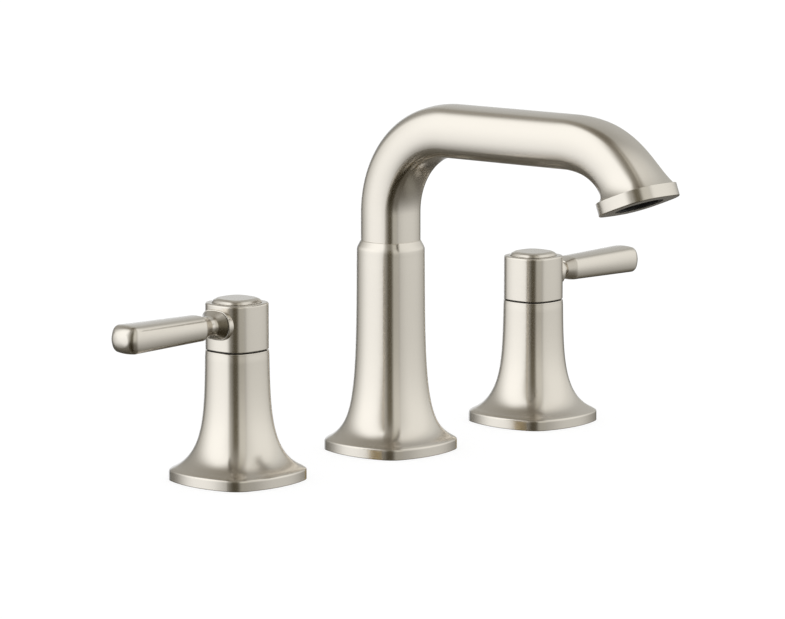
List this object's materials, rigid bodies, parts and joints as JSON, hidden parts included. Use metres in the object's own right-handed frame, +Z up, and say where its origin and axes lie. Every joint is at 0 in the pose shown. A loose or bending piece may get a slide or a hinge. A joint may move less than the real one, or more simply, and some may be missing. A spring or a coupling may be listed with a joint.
{
  "type": "widespread bathroom faucet",
  "caption": "Widespread basin faucet in brushed nickel: flared bowed-square bases, lever handles on quarter-turn ceramic valves and a high fixed spout with an aerator.",
  "frame": {"origin": "centre of the spout's foot on the deck plane", "axes": "+Z up from the deck, the spout reaches towards -Y, the handles stand at equal distances along X with hot at -X and cold at +X"},
  "size_m": [0.3488, 0.1946, 0.2597],
  "materials": {
    "nickel": "warm brushed nickel plating on brass",
    "brass": "plain machined brass",
    "steel": "plain stainless steel",
    "rubber": "matt black rubber",
    "nylon": "off-white nylon",
    "ceramic": "lapped alumina",
    "black_plastic": "satin black acetal"
  },
  "bodies": {
    "root": {"hot_bell": "nickel", "hot_base_gasket": "rubber", "hot_valve_body": "brass", "hot_deck_washer": "rubber", "hot_steel_washer": "steel", "hot_mounting_nut": "brass", "hot_seat_seal": "rubber", "hot_lower_disc": "ceramic", "hot_cartridge_barrel": "brass", "hot_hub_bushing": "nylon", "cold_bell": "nickel", "cold_base_gasket": "rubber", "cold_valve_body": "brass", "cold_deck_washer": "rubber", "cold_steel_washer": "steel", "cold_mounting_nut": "brass", "cold_seat_seal": "rubber", "cold_lower_disc": "ceramic", "cold_cartridge_barrel": "brass", "cold_hub_bushing": "nylon", "spout_column": "nickel", "spout_tube": "nickel", "spout_base_gasket": "rubber", "spout_shank": "brass", "spout_upper_ring": "rubber", "spout_lower_ring": "rubber", "spout_deck_washer": "rubber", "spout_steel_washer": "steel", "spout_mounting_nut": "brass", "hose_tee": "brass", "aerator_housing": "black_plastic", "aerator_screen": "black_plastic", "flow_regulator": "nylon", "aerator_seal": "rubber"},
    "hot_handle": {"hot_upper_disc": "ceramic", "hot_stem": "brass", "hot_stem_ring": "rubber", "hot_stem_clip": "steel", "hot_hub": "nickel", "hot_handle_screw": "steel", "hot_button_cap": "nickel", "hot_lever_collar": "nickel", "hot_lever": "nickel"},
    "cold_handle": {"cold_upper_disc": "ceramic", "cold_stem": "brass", "cold_stem_ring": "rubber", "cold_stem_clip": "steel", "cold_hub": "nickel", "cold_handle_screw": "steel", "cold_button_cap": "nickel", "cold_lever_collar": "nickel", "cold_lever": "nickel"}
  },
  "joints": [
    {"name": "hot_handle_turn", "type": "hinge", "parent": "root", "child": "hot_handle", "pos_m": [-0.1016, 0, 0.07], "axis": [0, 0, 1], "range_deg": [0, 90]},
    {"name": "cold_handle_turn", "type": "hinge", "parent": "root", "child": "cold_handle", "pos_m": [0.1016, 0, 0.07], "axis": [0, 0, 1], "range_deg": [-90, 0]}
  ]
}
